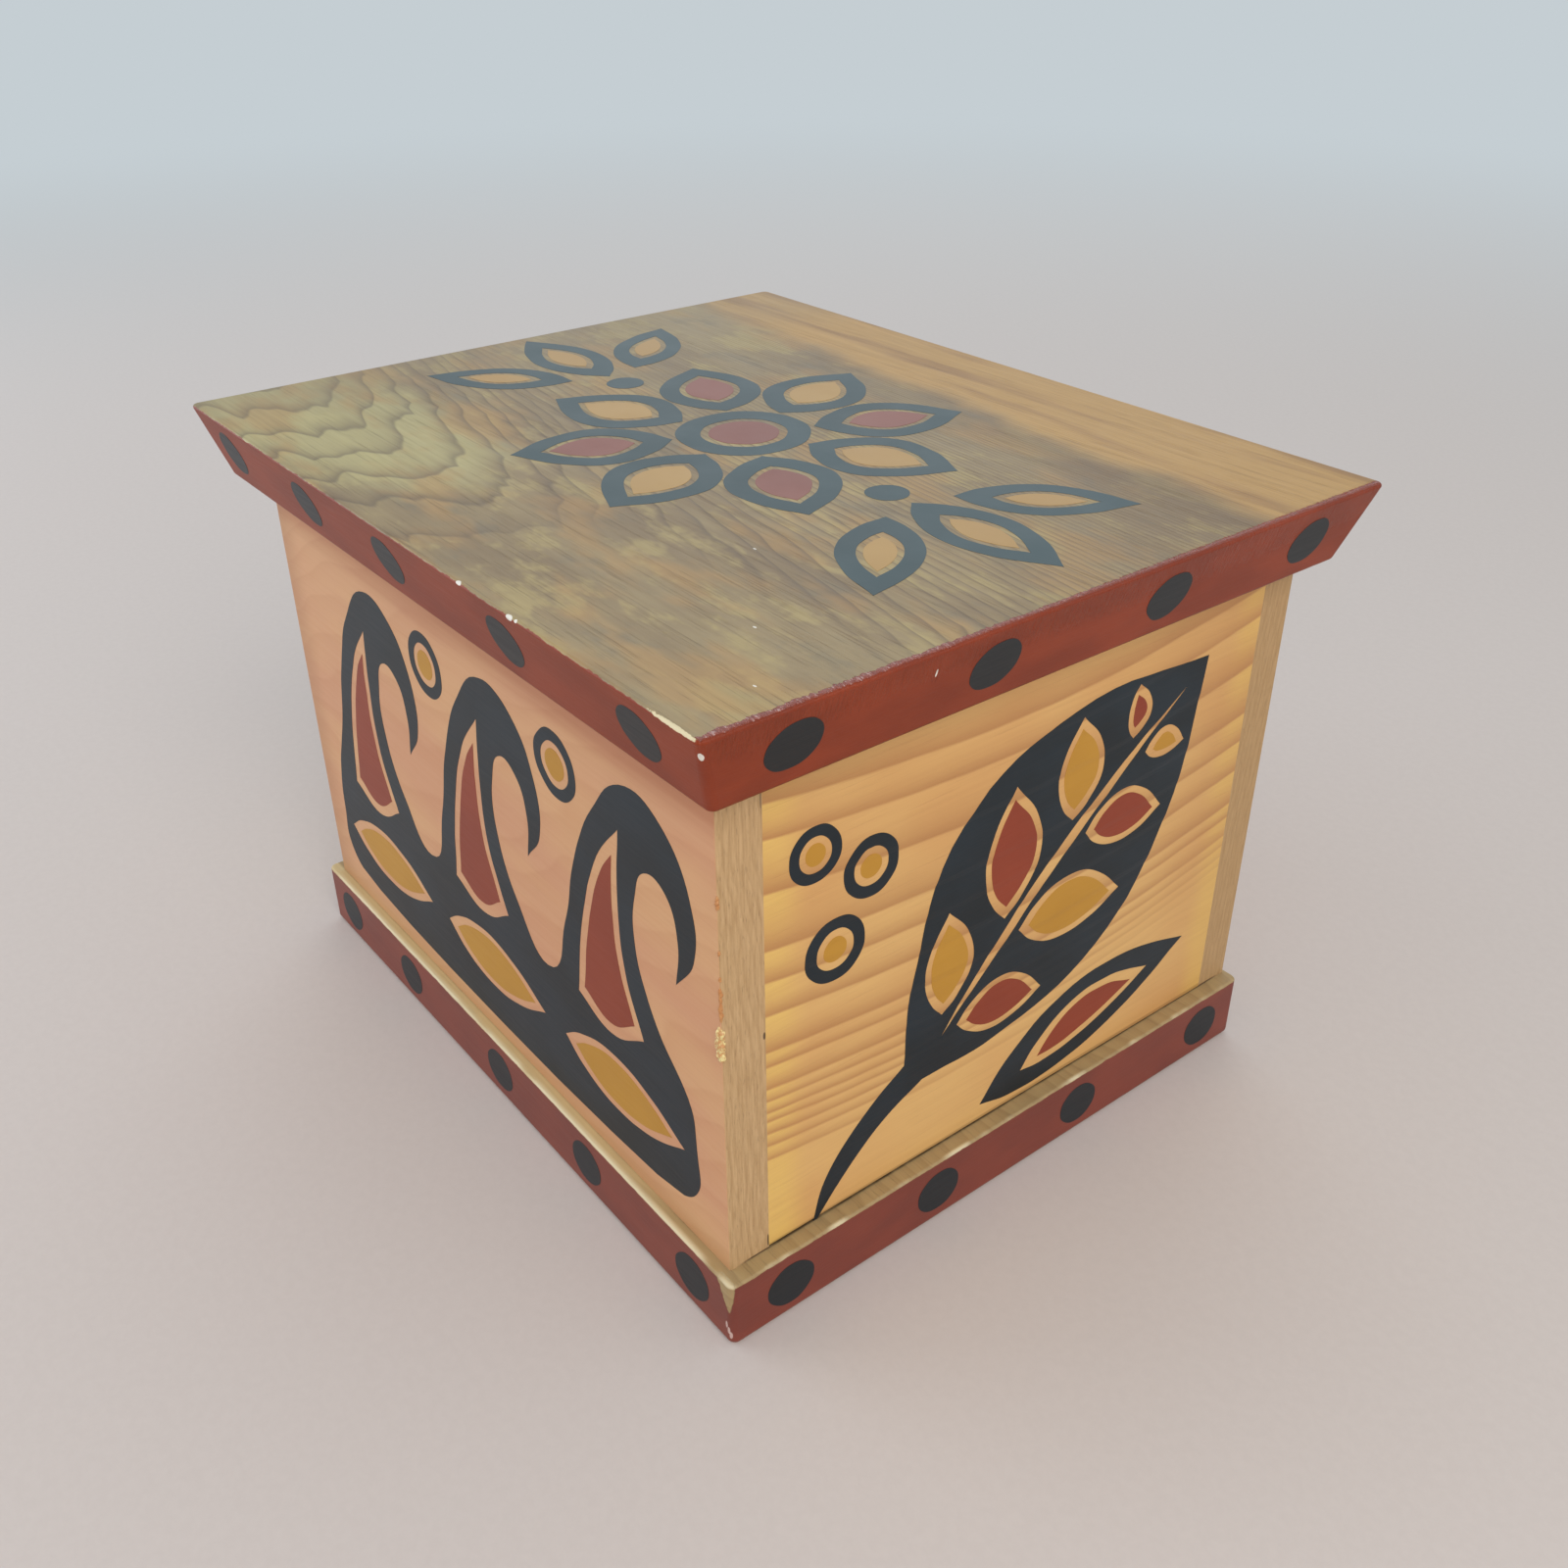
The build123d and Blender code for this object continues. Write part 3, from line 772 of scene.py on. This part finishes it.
def make_film(name, loops, place, finish):
    """A film of paint with these outlines. Inner outlines are holes. place lays it on its face."""
    curve = bpy.data.curves.new(name, "CURVE")
    curve.dimensions = "2D"
    curve.fill_mode = "BOTH"
    curve.extrude = FILM / 2 * MM
    curve.resolution_u = 8
    for loop in loops:
        spline = curve.splines.new("BEZIER")
        spline.bezier_points.add(len(loop) - 1)
        spline.use_cyclic_u = True
        for point, knot in zip(spline.bezier_points, loop):
            point.co = (knot[0] * MM, knot[1] * MM, 0.0)
            handle = "VECTOR" if len(knot) > 2 else "AUTO"
            point.handle_left_type = point.handle_right_type = handle
    film = mesh_from(curve, finish)
    for point in film.data.vertices:
        flat = Vector((point.co.x, point.co.y, 0.0)) / MM * WAVER_RATE
        point.co.x += noise.noise(flat) * WAVER * MM
        point.co.y += noise.noise(flat + WAVER_TURN) * WAVER * MM
    face_outwards(FILM_MERGE)
    film.matrix_world = place @ Matrix.Translation((0, 0, (FILM / 2 - FILM_SUNK) * MM))
    bpy.ops.object.transform_apply()
    return film


def dry(film, slot, body):
    """Fixes a film to the body that it is painted on."""
    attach(film, body)


def lay_paint(name, loops, place, finish, slot, body):
    dry(make_film(name, loops, place, finish), slot, body)


def face_place(origin, right, up):
    """The matrix that lays a drawing on a face: its origin in millimetres and its two directions."""
    right, up = Vector(right).normalized(), Vector(up).normalized()
    return turned_to(Vector(origin) * MM, right, up, right.cross(up))


FRONT_FACE = face_place((0, FRONT_LOW.y, WALL_FOOT), (1, 0, 0), (0, 0, 1))
RIGHT_FACE = face_place((PANEL_HIGH.x, 0, WALL_FOOT), (0, 1, 0), (0, 0, 1))
LID_FACE = face_place((0, 0, LID_HIGH.z), (1, 0, 0), (0, 1, 0))

RESERVE = 3.2  # bare wood left between a black outline and the colour inside it


# Front wall: three rolling waves

WAVES = 3
WAVE_PITCH = 89.0
WAVE_START = -133.5
WAVE_FOOT = 14.0
WAVE_BACK = [(15, 90), (24, 118), (39, 147), (60, 165)]
WAVE_CREST = [(80, 159), (92, 139), (92, 119)]
WAVE_TIP = [(82, 105, SHARP)]
WAVE_FACE = [(84, 122), (79, 136), (69, 139), (61, 126), (60, 103), (70, 79)]
# The hole in a wave's black, and the red inside it.
BODY_HOLE = [
    (20, 64, SHARP), (27, 98), (40, 130), (54, 147, SHARP),
    (51, 122), (52, 92), (61, 68, SHARP), (40, 58),
]
BODY = [
    (24.5, 68, SHARP), (31, 98), (42, 126), (49, 135, SHARP),
    (47.2, 120), (48, 93), (55.5, 71, SHARP), (40, 62.5),
]
TROUGH = (7, 82)  # a lying leaf below each wave, from here to here
TROUGH_HEIGHT = 36
TROUGH_WIDTH = 25
SPOT = (18, 153)  # above the back of the second and of the third wave
SPOT_RADII = (12.5, 8.2, 5.6)  # of the black ring's outside and inside, and of the ochre in it


def wave_outline():
    """One black band along the foot, from which the three waves rise."""
    knots = [(WAVE_START, WAVE_FOOT + 9), (WAVE_START, 40), (WAVE_START + 4, 64)]
    for wave in range(WAVES):
        start = WAVE_START + wave * WAVE_PITCH
        knots += shifted(WAVE_BACK + WAVE_CREST + WAVE_TIP + WAVE_FACE, start)
        if wave < WAVES - 1:
            knots.append((start + WAVE_PITCH - 1, 62))
    end = WAVE_START + WAVES * WAVE_PITCH
    knots += [(end - 2, 58), (end, 40), (end, WAVE_FOOT + 9)]
    return knots + [(end - 9, WAVE_FOOT), (WAVE_START + 9, WAVE_FOOT)]


def front_wall_paint():
    black, red, ochre = [wave_outline()], [], []
    for wave in range(WAVES):
        start = WAVE_START + wave * WAVE_PITCH
        black.append(shifted(BODY_HOLE, start))
        red.append(shifted(BODY, start))
        base, tip = [(start + along, TROUGH_HEIGHT) for along in TROUGH]
        black.append(leaf(base, tip, TROUGH_WIDTH))
        ochre.append(leaf(base, tip, TROUGH_WIDTH, inset=RESERVE * 0.85))
    outer, inner, fill = SPOT_RADII
    for wave in range(1, WAVES):
        spot = (WAVE_START + wave * WAVE_PITCH + SPOT[0], SPOT[1])
        black += [disc(spot, outer), disc(spot, inner)]
        ochre.append(disc(spot, fill))
    lay_paint("front_black_ornament", black, FRONT_FACE, BLACK_PAINT, "black_paint", "case")
    lay_paint("front_red_ornament", red, FRONT_FACE, RED_PAINT, "red_paint", "case")
    lay_paint("front_ochre_ornament", ochre, FRONT_FACE, OCHRE_PAINT, "ochre_paint", "case")


# End panels: one large leaf with coloured cells between its veins, a small leaf and berries

LEAF_BASE = Vector((-47, 42))
LEAF_TIP = Vector((84, 160))
LEAF_WIDTH = 108
LEAF_BEND = 5
MIDRIB_ENDS = (0.08, 0.93)  # as shares of the leaf's length
MIDRIB_WIDTH = 5.0
# The cells on each side: where they start on the midrib, their length and their width.
CELLS = [(0.12, 42, 22), (0.34, 52, 26), (0.57, 40, 22), (0.77, 21, 12)]
CELL_START = 5.5  # how far beside the midrib's middle line
CELL_ANGLE = radians(47)
CELL_COLOURS = ("red", "ochre")
STEM = [(-44, 37, SHARP), (-62, 28), (-79, 13), (-93, -3, SHARP), (-87, 16), (-72, 34), (-53, 48, SHARP)]
SMALL_LEAF = ((-14, 8), (94, 34), 34, 4)
SMALL_LEAF_BORDER = 7.0
BERRIES = [((-84, 112), 12), ((-70, 137), 11), ((-92, 150), 10)]
BERRY_SHARES = (1.0, 0.62, 0.38)  # of its radius: the ring's outside and inside, and the ochre in it


def leaf_cells():
    """The cells on both sides of the large leaf's midrib, each with its colour."""
    along = (LEAF_TIP - LEAF_BASE).normalized()
    across = Vector((-along.y, along.x))
    length = (LEAF_TIP - LEAF_BASE).length
    for number, (share, reach_out, width) in enumerate(CELLS):
        for side in (-1, 1):
            beside = side * CELL_START + LEAF_BEND * sin(pi * share)
            start = LEAF_BASE + along * share * length + across * beside
            out = along * cos(CELL_ANGLE) + across * side * sin(CELL_ANGLE)
            shape = (start, start + out * reach_out, width, -side * 2.0)
            yield shape, CELL_COLOURS[(number + (side > 0)) % 2]


FILM_COLUMNS = 3  # on a film, this many columns of the panel's faces are one


def follow_ripples(film):
    """Divides a film along the lines of the right panel's faces and moves it onto the ripples."""
    bpy.ops.object.mode_set(mode="EDIT")
    for axis, every in (("z", 1), ("y", FILM_COLUMNS)):
        normal = Vector([float(axis == letter) for letter in "xyz"])
        low, high = getattr(PANEL_LOW, axis), getattr(PANEL_HIGH, axis)
        for cut in range(every, PANEL_CUTS + 1, every):
            bpy.ops.mesh.select_all(action="SELECT")
            at = low + (high - low) * cut / (PANEL_CUTS + 1)
            bpy.ops.mesh.bisect(plane_co=normal * at * MM, plane_no=normal)
    bpy.ops.object.mode_set(mode="OBJECT")
    raise_ripples(film)


def end_panel_paint():
    """Three films for the right end, made to follow its ripples together, and their mirrored copies."""
    black = [STEM + leaf(LEAF_BASE, LEAF_TIP, LEAF_WIDTH, LEAF_BEND)[1:]]
    fills = {"red": [], "ochre": []}
    midrib = [LEAF_BASE.lerp(LEAF_TIP, share) for share in MIDRIB_ENDS]
    black.append(leaf(*midrib, MIDRIB_WIDTH, LEAF_BEND))
    for shape, colour in leaf_cells():
        black.append(leaf(*shape))
        fills[colour].append(leaf(*shape, RESERVE * 0.85))
    black.append(leaf(*SMALL_LEAF))
    black.append(leaf(*SMALL_LEAF, SMALL_LEAF_BORDER))
    fills["red"].append(leaf(*SMALL_LEAF, SMALL_LEAF_BORDER + RESERVE))
    for centre, radius in BERRIES:
        outer, inner, fill = [disc(centre, radius * share) for share in BERRY_SHARES]
        black += [outer, inner]
        fills["ochre"].append(fill)
    films = [
        make_film("right_black_ornament", black, RIGHT_FACE, BLACK_PAINT),
        make_film("right_red_ornament", fills["red"], RIGHT_FACE, RED_PAINT),
        make_film("right_ochre_ornament", fills["ochre"], RIGHT_FACE, OCHRE_PAINT),
    ]
    follow_ripples(joined(films))
    bpy.ops.object.mode_set(mode="EDIT")
    bpy.ops.mesh.select_all(action="SELECT")
    bpy.ops.mesh.separate(type="MATERIAL")
    bpy.ops.object.mode_set(mode="OBJECT")
    for film in list(bpy.context.selected_objects):
        slot = film.data.materials[0].name
        name = slot.replace("paint", "ornament")
        film.name = film.data.name = f"right_{name}"
        dry(film, slot, "case")
        dry(mirrored_copy(film, f"left_{name}"), slot, "case")


# Lid: a rosette between two sprays

ROSETTE = (-8.0, 2.0)
EYE_RADII = (25, 16, 13)  # of the black ring's outside and inside, and of the red in it
PETALS = 8
PETAL_REACH = (27.0, 86.0)  # from the rosette's middle
PETAL_WIDTH = 40.0
PETAL_BORDER = 8.0
SPRAY_BORDER = 6.5
# On each side, leaves fan out from a berry. Base, tip and width, from the rosette's middle outwards.
SPRAY = [((92, 0), (160, 0), 29), ((96, 15), (140, 58), 28), ((96, -15), (140, -58), 28)]
SPRAY_BERRY = 80  # from the rosette's middle
SPRAY_BERRY_RADIUS = 7.5


def petal(turn, inset=0.0):
    """One petal of the rosette, at an angle from the right."""
    around = Vector((cos(turn), sin(turn)))
    base, tip = [Vector(ROSETTE) + around * reach_out for reach_out in PETAL_REACH]
    return leaf(base, tip, PETAL_WIDTH, inset=inset)


def lid_paint():
    centre = Vector(ROSETTE)
    outer, inner, eye = [disc(ROSETTE, radius) for radius in EYE_RADII]
    black, red, ochre = [outer, inner], [eye], []
    for step in range(PETALS):
        turn = 2 * pi * (step + 0.5) / PETALS
        black += [petal(turn), petal(turn, PETAL_BORDER)]
        (red if step % 2 else ochre).append(petal(turn, PETAL_BORDER + RESERVE * 0.75))
    for side in (-1, 1):
        black.append(disc((centre.x + side * SPRAY_BERRY, centre.y), SPRAY_BERRY_RADIUS))
        for base, tip, width in SPRAY:
            base, tip = (centre + Vector((side * along, rise)) for along, rise in (base, tip))
            black += [leaf(base, tip, width), leaf(base, tip, width, inset=SPRAY_BORDER)]
            ochre.append(leaf(base, tip, width, inset=SPRAY_BORDER + RESERVE * 0.7))
    lay_paint("lid_black_ornament", black, LID_FACE, LID_BLACK_WITH_SHEEN, "black_paint", "lid")
    lay_paint("lid_red_ornament", red, LID_FACE, LID_RED_WITH_SHEEN, "red_paint", "lid")
    lay_paint("lid_ochre_ornament", ochre, LID_FACE, LID_OCHRE_WITH_SHEEN, "ochre_paint", "lid")


# Dots along the red edges

DOT_RADIUS = 9.7
DOT_SQUASH = 0.92
BASE_DOT_HEIGHT = 14.2
LID_DOT_HEIGHT = 230.4
# Their places along the long sides, as x, and along the short ones, as y.
LONG_BASE_DOTS = (-135.6, -76.3, 1.4, 66.0, 133.5)
SHORT_BASE_DOTS = (-106.7, -39.1, 34.0, 107.1)
LONG_LID_DOTS = (-145.1, -76.3, -11.2, 66.4, 136.9)
SHORT_LID_DOTS = (-112.8, -40.1, 34.9, 105.2)


def dot_rows(name, low, high, lean, long_dots, short_dots, height, body):
    """Dots on the four sides of a board. lean is how far its sides tip outwards, as an angle."""
    middle = (low + high) / 2
    # The rounding takes the sharp top edge off a leaning side, so the board's box stops short of it.
    eased = SLAB_TOP_EASE * (1 / cos(lean) - 1 + tan(lean))
    sides = (
        ("front", (0, -1, 0), middle.x, high.y - middle.y, long_dots),
        ("right", (1, 0, 0), middle.y, high.x - middle.x, short_dots),
        ("back", (0, 1, 0), middle.x, high.y - middle.y, long_dots),
        ("left", (-1, 0, 0), middle.y, high.x - middle.x, short_dots),
    )
    for side, out, along_middle, distance, places in sides:
        out = Vector(out)
        right = Vector((0, 0, 1)).cross(out)
        drawn_up = (Vector((0, 0, 1)) * cos(lean) + out * sin(lean)).normalized()
        sunk = (high.z - height) * tan(lean)
        centre = Vector((middle.x, middle.y, height)) + out * (distance + eased - sunk)
        sign = right.x + right.y
        loops = [disc(((place - along_middle) * sign, 0), DOT_RADIUS, DOT_SQUASH) for place in places]
        place = face_place(centre, right, drawn_up)
        lay_paint(f"{name}_{side}_dots", loops, place, DOT_PAINT, "black_paint", body)


front_wall_paint()
end_panel_paint()
lid_paint()
dot_rows("base", BASE_LOW, BASE_HIGH, 0.0, LONG_BASE_DOTS, SHORT_BASE_DOTS, BASE_DOT_HEIGHT, "case")
dot_rows("lid", LID_LOW, LID_HIGH, LID_SLOPE_ANGLE, LONG_LID_DOTS, SHORT_LID_DOTS, LID_DOT_HEIGHT, "lid")


# The thick red paint that laps over the lid's right edge

BEAD_HALF_WIDTH = 1.7
BEAD_HEIGHT = 0.4
BEAD_STEP = 0.8
BEAD_FULL_TO = -90.0  # it is full up to here from the front, and then thins out
BEAD_THINNING = 120.0  # over this distance
BEAD_WANDER = 0.35  # how far it strays sideways
BEAD_LUMPS = [(0.25, 0.4), (0.8, 0.35), (1.7, 0.3)]  # how many per millimetre, and how strong
BEAD_INSET = 2.0  # from the lid's right edge to the bead's middle
BEAD_SUNK = 0.05


def make_paint_bead():
    """A lumpy ridge of red paint along the lid's right edge, fullest near the front corner."""
    bead = bpy.data.curves.new("red_paint_bead", "CURVE")
    bead.dimensions = "3D"
    bead.bevel_depth = MM
    bead.bevel_resolution = 3
    bead.use_fill_caps = True
    start, end = LID_LOW.y + 0.8, LID_HIGH.y - 1.5
    count = round((end - start) / BEAD_STEP)
    run = bead.splines.new("POLY")
    run.points.add(count)
    for step, point in enumerate(run.points):
        along = start + (end - start) * step / count
        fullness = 1.0 - 0.5 * clamped((along - BEAD_FULL_TO) / BEAD_THINNING)
        lumps = sum(noise.noise(Vector((along * rate, 3.0, 7.0))) * size for rate, size in BEAD_LUMPS)
        aside = noise.noise(Vector((along * 0.12, 9.0, 0.0))) * BEAD_WANDER
        point.co = (aside * MM, along * MM, 0.0, 1.0)
        point.radius = max(0.1, fullness * (0.7 + lumps * 1.3))
    piece = mesh_from(bead, BEAD_PAINT)
    piece.location = Vector((LID_HIGH.x - BEAD_INSET, 0.0, LID_HIGH.z - BEAD_SUNK)) * MM
    piece.scale = (BEAD_HALF_WIDTH, 1.0, BEAD_HEIGHT)
    bpy.ops.object.transform_apply()
    bpy.ops.object.shade_smooth()
    face_outwards()
    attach(piece, "lid")


# Drops of dried glue at the front corner: height above the table, and half size along x, y and z.
GLUE_DROPS = [
    (176.5, 0.7, 0.8, 2.7),
    (159.0, 0.4, 0.5, 0.9),
    (149.5, 0.4, 0.5, 0.8),
    (143.5, 0.6, 0.7, 3.2),
    (137.5, 0.7, 0.8, 4.0),
    (128.5, 1.6, 1.1, 3.0),
    (124.5, 2.0, 1.3, 3.4),
    (120.5, 1.7, 1.2, 2.8),
]
GLUE_ROUGH = 0.55  # how far its surface strays


def make_glue():
    """Lumps of dried glue along the corner between the front wall's face and its end grain."""
    lumps = []
    for number, (height, wide, deep, tall) in enumerate(GLUE_DROPS):
        place = Vector((WALL_END - wide * 0.75, FRONT_LOW.y + deep * 0.2, height)) * MM
        size = (wide, deep, tall)
        bpy.ops.mesh.primitive_ico_sphere_add(subdivisions=4, radius=MM, location=place, scale=size)
        lump = bpy.context.active_object
        bpy.ops.object.transform_apply()
        for point in lump.data.vertices:
            out = (point.co - place).normalized()
            rough = noise.noise(point.co / MM * 0.9 + Vector((number * 7.0, 0.0, 0.0)))
            point.co += out * rough * GLUE_ROUGH * MM
        lumps.append(lump)
    glue = joined(lumps)
    glue.name = glue.data.name = "corner_glue"
    bpy.ops.object.shade_smooth()
    glue.data.materials.append(GLUE)
    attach(glue, "case")


make_paint_bead()
make_glue()


# Stage, light and camera

FLOOR = display(212, 199, 192)
SURROUND = display(197, 206, 211)
FLOOR_FADE = (700.0, 2600.0)  # the floor turns into the colour of the surroundings over this distance
# The next sizes and places are in metres.
FLOOR_RADIUS = 9.0
FLOOR_TOP = -0.0002
LAMP_AIM = Vector((0, 0, 0.12))
CAMERA_PLACE = (0.43716, -0.32655, 0.42756)
WARM = (1.0, 0.97, 0.93)
COOL = (0.84, 0.93, 1.0)
BLUISH = (0.82, 0.89, 1.0)


def make_floor():
    """A wide pale floor, just clear of the base, that the camera sees fade into the surroundings."""
    place = (0, 0, FLOOR_TOP)
    bpy.ops.mesh.primitive_circle_add(vertices=96, radius=FLOOR_RADIUS, fill_type="NGON", location=place)
    floor = bpy.context.active_object
    floor.name = "floor"
    f = Finish("floor")
    speckle = f.noise(f.x * 0.25, f.y * 0.25, 0.0, 4.0, 0.7)
    colour = f.mix(speckle.smooth(0.3, 0.7) * 0.25, FLOOR, display(202, 188, 181))
    f.finish(colour, 0.8, speckle * 0.05)
    ray = f.node("ShaderNodeLightPath")
    seen = Value(f, ray.outputs["Is Camera Ray"])
    for kind in ("Is Glossy Ray", "Is Transmission Ray"):
        seen = seen.larger(ray.outputs[kind])
    far = ((f.x * f.x + f.y * f.y) ** 0.5).smooth(*FLOOR_FADE)
    pale = f.node("ShaderNodeEmission", {}, {"Color": SURROUND, "Strength": 1.0})
    inputs = {0: seen * far, 1: f.surface.outputs[0], 2: pale.outputs[0]}
    mixer = f.node("ShaderNodeMixShader", {}, inputs)
    f.set(f.tree.nodes["Material Output"].inputs["Surface"], mixer.outputs[0])
    floor.data.materials.append(f.material)


def make_surround():
    """Even, slightly cool light all round."""
    world = bpy.data.worlds.new("surround")
    bpy.context.scene.world = world
    world.use_nodes = True
    light = world.node_tree.nodes["Background"]
    light.inputs["Color"].default_value = SURROUND
    light.inputs["Strength"].default_value = 1.0


def add_softbox(name, place, size, power, tint):
    """A square area lamp that faces the middle of the box. Its place and size are in metres."""
    bpy.ops.object.light_add(type="AREA", location=place)
    lamp = bpy.context.active_object
    lamp.name = name
    lamp.data.size = size
    lamp.data.energy = power
    lamp.data.color = tint
    aim = LAMP_AIM - Vector(place)
    lamp.rotation_euler = aim.to_track_quat("-Z", "Y").to_euler()


def make_camera():
    """The camera as the box's edges in the photograph place it."""
    azimuth, elevation, roll = radians(52.132), radians(31.243), radians(-0.412)
    back = Vector((sin(azimuth) * cos(elevation), -cos(azimuth) * cos(elevation), sin(elevation)))
    level = Vector((cos(azimuth), sin(azimuth), 0.0))
    upright = back.cross(level)
    right = level * cos(roll) + upright * sin(roll)
    up = upright * cos(roll) - level * sin(roll)
    bpy.ops.object.camera_add()
    camera = bpy.context.active_object
    camera.name = "camera"
    camera.matrix_world = turned_to(CAMERA_PLACE, right, up, back)
    camera.data.lens = 35.29
    camera.data.sensor_width = 36.0
    camera.data.clip_start = 0.01
    bpy.context.scene.camera = camera


make_floor()
make_surround()
add_softbox("key_light", (1.5, -0.6, 1.35), 1.2, 19.0, WARM)
add_softbox("side_light", (-1.5, -1.2, 0.45), 1.3, 15.0, BLUISH)
add_softbox("back_light", (-1.3, 1.2, 1.4), 1.6, 6.0, COOL)
make_camera()
bpy.context.scene.view_settings.view_transform = "Standard"

bpy.context.view_layer.update()
